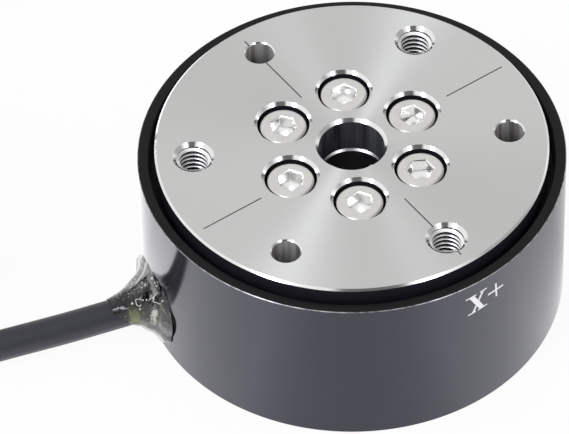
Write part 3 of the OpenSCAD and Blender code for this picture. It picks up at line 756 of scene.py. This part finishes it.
# %% Turn the cup
cup = turned(
    "cup",
    [
        (bore_r, 0.4 * MM), (bore_r + 0.4 * MM, 0), (cup_r - 0.3 * MM, 0), (cup_r, 0.3 * MM),
        (cup_r, cup_h - 0.14 * MM), (cup_r - 0.12 * MM, cup_h - 0.01 * MM), (cup_r - 0.18 * MM, cup_h),
        (cavity_r + 0.2 * MM, cup_h), (cavity_r, cup_h - 0.2 * MM),
        (cavity_r, floor_t), (bore_r + 0.4 * MM, floor_t), (bore_r, floor_t - 0.4 * MM),
    ],
    steps=256,
)
rim_edge = Finish("rim_edge", (0.3, 0.3, 0.31), Metallic=0.6, Roughness=0.3)
worn = rim_edge.noise(900, 3)
rim_edge.feed("Base Color", rim_edge.blend(worn.ramp(0.3, 0.7), (0.12, 0.12, 0.125), (0.5, 0.5, 0.51)))
faced_rim = Finish("faced_rim", (0.008, 0.008, 0.008), Roughness=0.3, Specular_IOR_Level=0.12)
dust = faced_rim.noise(700, 3)
faced_rim.feed("Base Color", faced_rim.blend(dust, (0.004, 0.004, 0.0045), (0.011, 0.0105, 0.011)))
anodised.on(cup)
finish_faces(cup, rim_edge, lambda c, n: c.z > cup_h - MM and 0.2 < n.z < 0.98 and n.xy.dot(c.xy) > 0)
finish_faces(cup, faced_rim, lambda c, n: c.z > cup_h - MM and n.z > 0.98)

# %% Cut the underside's holes and the cable's way out
above = floor_t + MM
robot_thread_cut = hole_cutter("robot_thread_cut", thread_r, 3.5 * MM, 0.48 * MM, above, 0, outward=-1)
robot_dowel_cut = hole_cutter("robot_dowel_cut", dowel_r, 2.65 * MM, 0.15 * MM, above, 0, outward=-1)
start_clean()
bpy.ops.mesh.primitive_cylinder_add(
    vertices=40, radius=cable_r + 0.1 * MM, depth=8 * MM,
    location=out * (cup_r - 2 * MM) + Vector((0, 0, cable_z)), rotation=(0, math.pi / 2, cable_angle),
)
cable_way = settled("cable_way", anodised)
cut(
    cup,
    round_circle(robot_thread_cut, hole_circle_r, thread_places)
    + round_circle(robot_dowel_cut, hole_circle_r, dowel_places)
    + [cable_way],
)
finished(cup, "anodised_black", "casing", angle=20)

robot_ridge = thread_ridge("robot_ridge", 0.3 * MM, 7)
robot_threads = joined(round_circle(robot_ridge, hole_circle_r, thread_places), "robot_threads")
finished(robot_threads, "anodised_black", "casing", angle=35)

# %% [markdown]
# ## The axis mark
#
# White ink on the cup's side says which way the X axis points. A letter is only a few
# strokes, so it is laid out flat from thin bars, where every bar can be checked, and
# then wrapped onto the cylinder vertex by vertex. The print is a little askew.

# %% Lay out the strokes
ink = Finish("mark_ink", (0.92, 0.92, 0.93), Roughness=0.5)
print_grain = ink.noise(5200, 3)
ink.feed("Base Color", ink.blend(print_grain, (0.84, 0.85, 0.87), (0.98, 0.98, 0.98)))


def stroke(start, end, width):
    """A flat bar from start to end, points of (along the side, height) in millimetres.

    A steep bar has level ends and a flat one has upright ends, as a letter's do.
    """
    (x0, z0), (x1, z1) = start, end
    steep = abs(z1 - z0) > abs(x1 - x0)
    start_clean()
    bpy.ops.mesh.primitive_grid_add(x_subdivisions=5, y_subdivisions=5, size=1)
    bar = bpy.context.object
    for vertex in bar.data.vertices:
        run, aside = vertex.co.x + 0.5, vertex.co.y * width
        vertex.co = (x0 + (x1 - x0) * run + aside * steep, z0 + (z1 - z0) * run + aside * (not steep), 0)
    return bar


# A steep stroke is given from its top down, so every bar faces outwards.
strokes = [
    stroke((-1.9, 28.38), (0.3, 24.42), 1.06),
    stroke((0.45, 28.6), (-1.62, 24.2), 0.42),
    stroke((-3.1, 28.28), (-0.95, 28.5), 0.26),
    stroke((-0.2, 28.58), (1.28, 28.74), 0.26),
    stroke((-2.64, 24.12), (-1.0, 24.28), 0.26),
    stroke((-0.6, 24.32), (1.42, 24.54), 0.26),
    stroke((1.6, 26.75), (5.08, 26.8), 0.38),
    stroke((3.32, 28.44), (3.53, 25.05), 0.36),
]
axis_mark = joined(strokes, "axis_mark")

# %% Wrap them onto the side
ink_r = cup_r + 0.012 * MM
for vertex in axis_mark.data.vertices:
    angle, height = vertex.co.x * MM / cup_r, vertex.co.y * MM
    vertex.co = (ink_r * math.cos(angle), ink_r * math.sin(angle), height)
only(axis_mark)
ink_layer = axis_mark.modifiers.new("layer", "SOLIDIFY")
ink_layer.thickness, ink_layer.offset = 0.02 * MM, 0
bpy.ops.object.modifier_apply(modifier="layer")
ink.on(axis_mark)
finished(axis_mark, "anodised_black")

# %% [markdown]
# ## The bonding compound
#
# The cable is held in the cup's side by clear epoxy, put on by hand: wide on the cup,
# drawn out along the cable, and flat underneath where it met the bench. Its outline
# round the cable is uneven, so it is lofted: a circle is extruded ring by ring along
# the cable, each ring is resized, and then every vertex is pushed in or out by a
# table of reach against direction, with small lumps on top.
#
# Its finish is nearly all transmission, tinted darker and lighter in random lumps, with
# white painted glints in small specks. It is cloudy and yellowish over the cable's
# inner jacket, and smooth below.

# %% Loft the compound
compound = Finish(
    "clear_compound", (0.4, 0.42, 0.38), Roughness=0.04, IOR=1.5, Transmission_Weight=0.97
)
lumps = compound.noise(420, 3, 0.6)
# The white specks in the colour are painted glints.
painted_glint_spots = compound.noise(1300, 2, 0.6).ramp(0.63, 0.67)
# The tint is darker and lighter in random lumps.
lumpy_tint = compound.blend(lumps.ramp(0.46, 0.66), (0.012, 0.012, 0.013), (0.3, 0.3, 0.31))
spot_x, spot_y, spot_z = compound.xyz()
along = spot_x * out.x + spot_y * out.y
side = spot_y * out.x - spot_x * out.y
over_jacket = (
    along.ramp(39.6 * MM, 40.4 * MM) * (1 - along.ramp(42.2 * MM, 42.8 * MM))
    * (1 - spot_z.ramp(8.0 * MM, 9.2 * MM)) * spot_z.ramp(2.5 * MM, 4.0 * MM)
    * side.ramp(1.0 * MM, 2.5 * MM)
)
smooth = (
    (1 - spot_z.ramp(7.0 * MM, 9.5 * MM)) * side.ramp(0, 2 * MM)
    * (1 - along.ramp(39.6 * MM, 40.2 * MM))
)
lumpy_tint = compound.blend(smooth * 0.85, lumpy_tint, (0.045, 0.05, 0.062))
lumpy_tint = compound.blend(over_jacket * 0.9, lumpy_tint, (0.9, 0.92, 0.6))
compound.feed("Base Color", compound.blend(painted_glint_spots, lumpy_tint, (0.95, 0.96, 0.93)))
compound.feed("Roughness", 0.02 + lumps.ramp(0.5, 0.75) * 0.12)
compound.feed("Normal", compound.bump((lumps * 0.6 + painted_glint_spots * 0.4) * (1 - smooth * 0.7), 0.3 * MM, 0.7))

rings = [
    (36.6, 12.0), (37.5, 11.0), (38.0, 9.0), (38.6, 7.7), (39.4, 6.6), (40.3, 5.6),
    (41.3, 4.6), (42.3, 3.85), (43.3, 3.4), (44.2, 3.1), (45.0, 2.84),
]
start_clean()
bpy.ops.mesh.primitive_circle_add(vertices=72, radius=rings[0][1] * MM, fill_type="NGON")
glue = bpy.context.object
glue.name = "bonding_compound"
bpy.ops.object.mode_set(mode="EDIT")
bpy.ops.mesh.select_all(action="SELECT")
for (near, wide), (far, narrow) in zip(rings, rings[1:]):
    bpy.ops.mesh.extrude_region_move(TRANSFORM_OT_translate={"value": (0, 0, (far - near) * MM)})
    bpy.ops.transform.resize(value=(narrow / wide, narrow / wide, 1), center_override=(0, 0, 0))
bpy.ops.mesh.select_all(action="SELECT")
bpy.ops.mesh.normals_make_consistent(inside=False)
bpy.ops.object.mode_set(mode="OBJECT")

# %% Push it into shape and lay it along the cable
reach = [
    (0, 0.74), (30, 0.93), (60, 1.03), (90, 0.9), (115, 0.73), (150, 0.77), (180, 0.92), (215, 0.85),
    (270, 0.68), (325, 0.62), (360, 0.74),
]
bare_side = 318  # where the compound leaves the sheath bare: below, and to the right


def reach_at(degrees):
    for (a, low), (b, high) in zip(reach, reach[1:]):
        if a <= degrees <= b:
            return low + (high - low) * eased((degrees - a) / (b - a))


def within_one(share):
    return min(max(share, 0), 1)


def pushed(degrees, distance, depth):
    """How far a vertex is pushed from the cable's line, for a distance and a depth in millimetres."""
    spread = within_one((distance - 3.2) / 5)
    lump = 0.25 * math.sin(degrees * 0.11 + depth * 1.7) + 0.18 * math.sin(degrees * 0.23 - depth * 2.9)
    beside_bare = max(0, math.cos(math.radians(degrees - bare_side)))
    drawn_in = within_one((depth - 1.5) / 2.5) * beside_bare**0.8
    return (1 + (reach_at(degrees) - 1) * spread) * (1 + 0.06 * lump * spread) * (1 - 0.28 * drawn_in)


across = Vector((-out.y, out.x, 0))
for vertex in glue.data.vertices:
    right_part, up_part, depth = vertex.co
    distance = math.hypot(right_part, up_part)
    if distance > 0.1 * MM:
        degrees = math.degrees(math.atan2(up_part, right_part)) % 360
        factor = pushed(degrees, distance / MM, depth / MM)
        right_part, up_part = right_part * factor, up_part * factor
    z_place = max(cable_z + up_part, 0.35 * MM + 0.1 * MM * math.sin(depth / MM * 3))
    vertex.co = out * (rings[0][0] * MM + depth) + across * right_part + Vector((0, 0, z_place))
compound.on(glue)

# %% Hollow it for the cup, the inner jacket and the cable
start_clean()
bpy.ops.mesh.primitive_cylinder_add(vertices=256, radius=cup_r + 0.01 * MM, depth=100 * MM)
cut(glue, [settled("cup_shape", compound)])
for name, radius, length, middle in (
    ("jacket_way", 2.32 * MM, 14 * MM, 35 * MM),
    ("cable_bed", cable_r + 0.02 * MM, 10 * MM, jacket_end + 4.99 * MM),
):
    start_clean()
    bpy.ops.mesh.primitive_cylinder_add(
        vertices=40, radius=radius, depth=length, location=out * middle + Vector((0, 0, cable_z)),
        rotation=(0, math.pi / 2, cable_angle),
    )
    cut(glue, [settled(name, compound)])

# %% Bubbles that set in its skin, and the raised rims of burst ones, coloured white as painted glints
# Bubbles and rims are coloured white: painted glints in the clear compound.
bubble_painted_glint = Finish("bubble_painted_glint", (0.8, 0.81, 0.8), Roughness=0.12)
painted_glint_tone = bubble_painted_glint.noise(4000, 2)
bubble_painted_glint.feed("Base Color", bubble_painted_glint.blend(painted_glint_tone, (0.6, 0.61, 0.6), (0.95, 0.95, 0.94)))
torn_open = Vector((0.392, -0.271, 0.513))  # the burst rims lean this way, up and to the front
bubbles = []
# Each is near a point given along the cable, across it and in height, all in millimetres.
for along, side, up_to, size, burst in (
    (38.0, 6.0, 13.2, 0.95, True), (40.52, 2.9, 9.94, 0.62, True),
    (37.84, 2.3, 14.62, 0.26, False), (37.73, 3.79, 14.95, 0.15, False),
    (37.68, 4.68, 14.99, 0.15, False), (41.59, 2.14, 9.19, 0.22, False),
    (40.69, 3.69, 8.92, 0.17, False), (37.51, 7.43, 13.84, 0.18, False),
    (39.34, 5.59, 8.59, 0.1, False), (38.36, 6.72, 9.44, 0.1, False),
    (40.02, 5.27, 7.44, 0.09, False), (39.53, 1.12, 11.62, 0.12, False),
    (41.66, -0.03, 9.59, 0.1, False), (39.2, 4.2, 11.2, 0.1, False),
    (38.4, 5.0, 12.2, 0.13, False), (39.9, 3.2, 10.6, 0.14, False),
    (39.5, 3.7, 11.0, 0.16, False), (39.1, 4.3, 11.7, 0.15, False),
    (38.7, 4.8, 12.4, 0.16, False), (38.4, 5.1, 13.3, 0.14, False),
):
    near = out * (along * MM) + across * (side * MM) + Vector((0, 0, up_to * MM))
    _, spot, normal, _ = glue.closest_point_on_mesh(near)
    start_clean()
    if burst:
        bpy.ops.mesh.primitive_torus_add(
            major_radius=size * MM, minor_radius=0.065 * MM, major_segments=36, minor_segments=8
        )
        rim = bpy.context.object
        for vertex in rim.data.vertices:
            turn = math.atan2(vertex.co.y, vertex.co.x)
            wobble = 1 + 0.14 * math.sin(3 * turn + size * 9) + 0.07 * math.sin(5 * turn)
            height = vertex.co.z + 0.05 * MM * math.sin(2 * turn)
            vertex.co = (vertex.co.x * wobble, vertex.co.y * wobble, height)
        rim.location = spot + normal * 0.05 * MM
        rim.rotation_euler = (normal.normalized() + torn_open).to_track_quat("Z", "Y").to_euler()
    else:
        bpy.ops.mesh.primitive_uv_sphere_add(segments=14, ring_count=8, radius=size * MM, location=spot)
    bubbles.append(settled("bubble", bubble_painted_glint))
glue = joined([glue] + bubbles, "bonding_compound")
finished(glue, "clear_compound", "cable_glue", angle=60)
print("bubbles:", len(bubbles))

# %% [markdown]
# ## Finishes of the other parts
#
# The rest keep their CAD shape: what is inside the cup, the core of the cable, its ties
# and its plug. Each gets a finish with the grain or pattern of its real material.


# %% A moulded or rubber finish
def moulded(name, low, high, scale, roughness, depth):
    """A finish that varies from low to high, with a grain whose depth is in millimetres."""
    made = Finish(name, low, Roughness=roughness)
    grain, cloud = made.noise(scale, 4, 0.6), made.noise(scale / 8, 2)
    made.feed("Base Color", made.blend(cloud * 0.6 + grain * 0.4, low, high))
    made.feed("Roughness", roughness - 0.06 + grain * 0.12)
    made.feed("Normal", made.bump(grain, depth * MM, 0.4))
    return made


sheath = moulded("cable_sheath", (0.01, 0.0105, 0.018), (0.022, 0.0225, 0.034), 1800, 0.4, 0.03)
sheath.on(cable)

nodes = frame["nodes"]
for name, low, high, scale, roughness, depth, parts in (
    ("inner_jacket", (0.30, 0.32, 0.05), (0.45, 0.46, 0.12), 900, 0.4, 0.01, ["inner_jacket"]),
    ("soft_seal", (0.02, 0.02, 0.02), (0.035, 0.035, 0.035), 2500, 0.7, 0.02, ["gap_seal", "bore_seal"]),
    ("tie_black", (0.012, 0.012, 0.013), (0.03, 0.03, 0.032), 2200, 0.4, 0.01, ["coil_ties"]),
    ("grip_black", (0.014, 0.014, 0.015), (0.034, 0.034, 0.036), 3000, 0.55, 0.03, ["plug_grip"]),
    ("insert_black", (0.02, 0.02, 0.022), (0.04, 0.04, 0.045), 2600, 0.45, 0.01, ["plug_insert"]),
    ("chip_black", (0.012, 0.012, 0.013), (0.03, 0.03, 0.03), 5000, 0.5, 0.01, ["board_chips"]),
    ("capacitor", (0.30, 0.2, 0.11), (0.42, 0.3, 0.18), 4000, 0.4, 0.01, ["board_capacitors"]),
    ("header", (0.6, 0.56, 0.45), (0.72, 0.68, 0.58), 2000, 0.45, 0.01, ["board_header", "wire_plug"]),
):
    moulded(f"{name}_finish", low, high, scale, roughness, depth).on(*(nodes[part] for part in parts))


# %% A machined or plated metal finish
def machined(name, low, high, scale, roughness, stretch=(1, 1, 1)):
    made = Finish(name, low, Metallic=1.0, Roughness=roughness)
    marks = made.noise(scale, 4, 0.6, stretch=stretch)
    made.feed("Base Color", made.blend(marks, low, high))
    made.feed("Roughness", roughness - 0.05 + marks * 0.12)
    made.feed("Normal", made.bump(marks, 0.004 * MM, 0.3))
    return made


for name, low, high, scale, roughness, parts in (
    ("nickel", (0.55, 0.53, 0.5), (0.7, 0.68, 0.64), 1400, 0.22, ["plug_nut"]),
    ("gold", (0.7, 0.48, 0.16), (0.85, 0.62, 0.26), 1800, 0.2, ["plug_pins"]),
    ("brass", (0.55, 0.4, 0.16), (0.7, 0.52, 0.24), 1500, 0.3, ["board_posts"]),
    (
        "hidden_screw", (0.45, 0.45, 0.44), (0.62, 0.62, 0.6), 1500, 0.3,
        ["ring_screws", "board_screws", "hub_pins"],
    ),
):
    machined(f"{name}_finish", low, high, scale, roughness).on(*(nodes[part] for part in parts))
foil = machined(
    "gauge_foil_finish", (0.5, 0.32, 0.12), (0.75, 0.55, 0.25), 1, 0.4, stretch=(200, 200, 6000)
)
foil.on(nodes["strain_gauges"])

# The element is bare metal, and its bore is coloured near black and not metallic.
element = machined(
    "element_finish", (0.5, 0.5, 0.49), (0.64, 0.64, 0.62), 1, 0.3, stretch=(500, 500, 4000)
)
outside_bore = element.from_axis().above(bore_r + 0.02 * MM)
element.feed("Metallic", outside_bore)
element.feed("Base Color", element.blend(outside_bore, (0.018, 0.018, 0.02), (0.72, 0.72, 0.71)))
element.on(nodes["elastic_element"])

# %% Circuit board and wires
board = Finish("board_green_finish", (0.01, 0.12, 0.05), Roughness=0.35)
white, black = (1, 1, 1), (0, 0, 0)
tracks = board.node(
    "ShaderNodeTexBrick",
    {"offset": 0.5},
    {
        "Vector": board.place(), "Scale": 260.0, "Mortar Size": 0.035,
        "Color1": white, "Color2": white, "Mortar": black,
    },
)
board.feed("Base Color", board.blend(tracks, (0.02, 0.2, 0.09), (0.008, 0.09, 0.04)))
board.on(nodes["circuit_board"])

# The wires lie side by side, so a step ramp across the row gives each its own colour.
wires = Finish("wire_finish", (0.5, 0.1, 0.1), Roughness=0.4)
x, y, _ = wires.xyz()
along_row = x * across.x + y * across.y
row_width = 3.2 * MM
stops = [
    (0, (0.4, 0.02, 0.02)), (0.35, (0.01, 0.01, 0.01)),
    (0.55, (0.03, 0.25, 0.06)), (0.75, (0.7, 0.7, 0.68)),
]
hue = wires.node("ShaderNodeValToRGB", {"stops": stops}, {0: along_row / row_width + 0.5})
wires.feed("Base Color", hue)
wires.on(nodes["core_wires"])

# %% [markdown]
# ## Floor, lights and surroundings
#
# A white sweep and two soft boxes, one each side of the front, light such an object.
# Between them, behind the camera, the room leaves a dark gap, and polished edges show
# all three. The surroundings are written in the world's shader as bright and dark
# windows in azimuth, and the boxes are area lamps. The background is white, through
# glass too, while the floor keeps a faint shadow.
#
# The cup's side mirrors the floor at a low angle. For reflected rays only, the floor
# glows brighter in front of the sensor than at its sides, and brightest beside the
# cable: a painted reflection on the cup's side.


# %% Which ray is looking
def kinds_of_ray(nodes):
    """Whether a ray comes straight from the eye, from a reflection or through glass: 0 or 1 each."""
    kinds = ("Is Camera Ray", "Is Glossy Ray", "Is Transmission Ray")
    return [nodes.node("ShaderNodeLightPath", output=kind) for kind in kinds]


# %% Floor
start_clean()
bpy.ops.mesh.primitive_plane_add(size=6, location=(0, 0, -0.02 * MM))
floor = bpy.context.object
floor.name = "floor"
paper = Finish("floor_paper", (0.86, 0.86, 0.86), Roughness=0.9)
fibre = paper.noise(900, 3)
paper.feed("Base Color", paper.blend(fibre, (0.85, 0.85, 0.85), (0.88, 0.88, 0.88)))
straight, glossy, clear = kinds_of_ray(paper)
spot_x, spot_y, _ = paper.xyz()
front = Vector((0.8227, -0.5685))
facing = (spot_x * front.x + spot_y * front.y) / (spot_x * spot_x + spot_y * spot_y) ** 0.5
in_front = facing.ramp(-0.09, 0.42) * (1 - facing.ramp(0.84, 1.0) * 0.78)
left_of_cable = (spot_x * -across.x + spot_y * -across.y).ramp(0, 4 * MM)
outwards = (spot_x * out.x + spot_y * out.y).ramp(-10 * MM, 10 * MM)
# Painted reflection: for reflected rays only, the floor glows brighter in front of the sensor and beside
# the cable.
painted_reflection_level = (0.86 + 0.66 * in_front) * (1 + left_of_cable * outwards * 0.9)
backdrop_glow_and_painted_reflection = paper.node("ShaderNodeEmission", {}, {"Color": (1, 1, 1), "Strength": 1 + glossy * (painted_reflection_level - 1)})
shadowless = 0.94  # the share of the floor's light that no shadow takes away
share = straight.maths("MAXIMUM", straight, glossy.maths("MAXIMUM", glossy, clear)) * shadowless
lit = Flow(paper, paper.shader.outputs[0])
mixed = paper.node("ShaderNodeMixShader", {}, {0: share, 1: lit, 2: backdrop_glow_and_painted_reflection})
paper.tree.links.new(mixed.socket, paper.tree.nodes["Material Output"].inputs[0])
paper.on(floor)

# %% World
world = bpy.data.worlds.new("studio")
bpy.context.scene.world = world
world.use_nodes = True
sky = Nodes(world.node_tree)
straight, glossy, clear = kinds_of_ray(sky)
direction = sky.node("ShaderNodeTexCoord", output="Generated")
dx, dy, dz = [sky.node("ShaderNodeSeparateXYZ", {}, {0: direction}, axis) for axis in "XYZ"]
azimuth = sky.node("ShaderNodeMath", {"operation": "ARCTAN2"}, {0: dy, 1: dx}) * (180 / math.pi)


def window(low, high, soft=3):
    """1 between two azimuths, in degrees, with soft edges."""
    return azimuth.ramp(low - soft, low + soft) * (1 - azimuth.ramp(high - soft, high + soft))


high_up = dz.ramp(0.25, 0.35) * (1 - dz.ramp(0.88, 0.96))
gap = window(-45, -6) * high_up
dim_side = window(30, 110, 8) * dz.ramp(0.1, 0.3) * (1 - dz.ramp(0.8, 0.95))
mirrored = 1 - gap * 0.85 - dim_side * 0.55
daylight = 0.72
strength = daylight + glossy * (mirrored - daylight)
strength = strength.maths("MAXIMUM", strength, straight.maths("MAXIMUM", straight, clear))
background = world.node_tree.nodes["Background"]
background.inputs["Color"].default_value = (1, 1, 1, 1)
sky.put(background.inputs["Strength"], strength)


# %% Soft boxes
def soft_box(name, azimuth_degrees, elevation, distance, width, height, power):
    turn, lift = math.radians(azimuth_degrees), math.radians(elevation)
    level_reach, height_up = distance * math.cos(lift), distance * math.sin(lift)
    spot = Vector((level_reach * math.cos(turn), level_reach * math.sin(turn), height_up))
    bpy.ops.object.light_add(type="AREA", location=spot)
    lamp = bpy.context.object
    lamp.name = name
    lamp.rotation_mode = "QUATERNION"
    lamp.rotation_quaternion = (-spot).to_track_quat("-Z", "Y")
    lamp.data.shape = "RECTANGLE"
    lamp.data.size, lamp.data.size_y = width, height
    lamp.data.energy = power
    lamp.data.color = (0.9, 0.91, 1.0)


soft_box("left_box", -80, 48, 0.9, 0.17, 0.7, 3.45)
soft_box("right_box", 6, 40, 0.9, 0.16, 0.5, 0.95)
print("lights ready")
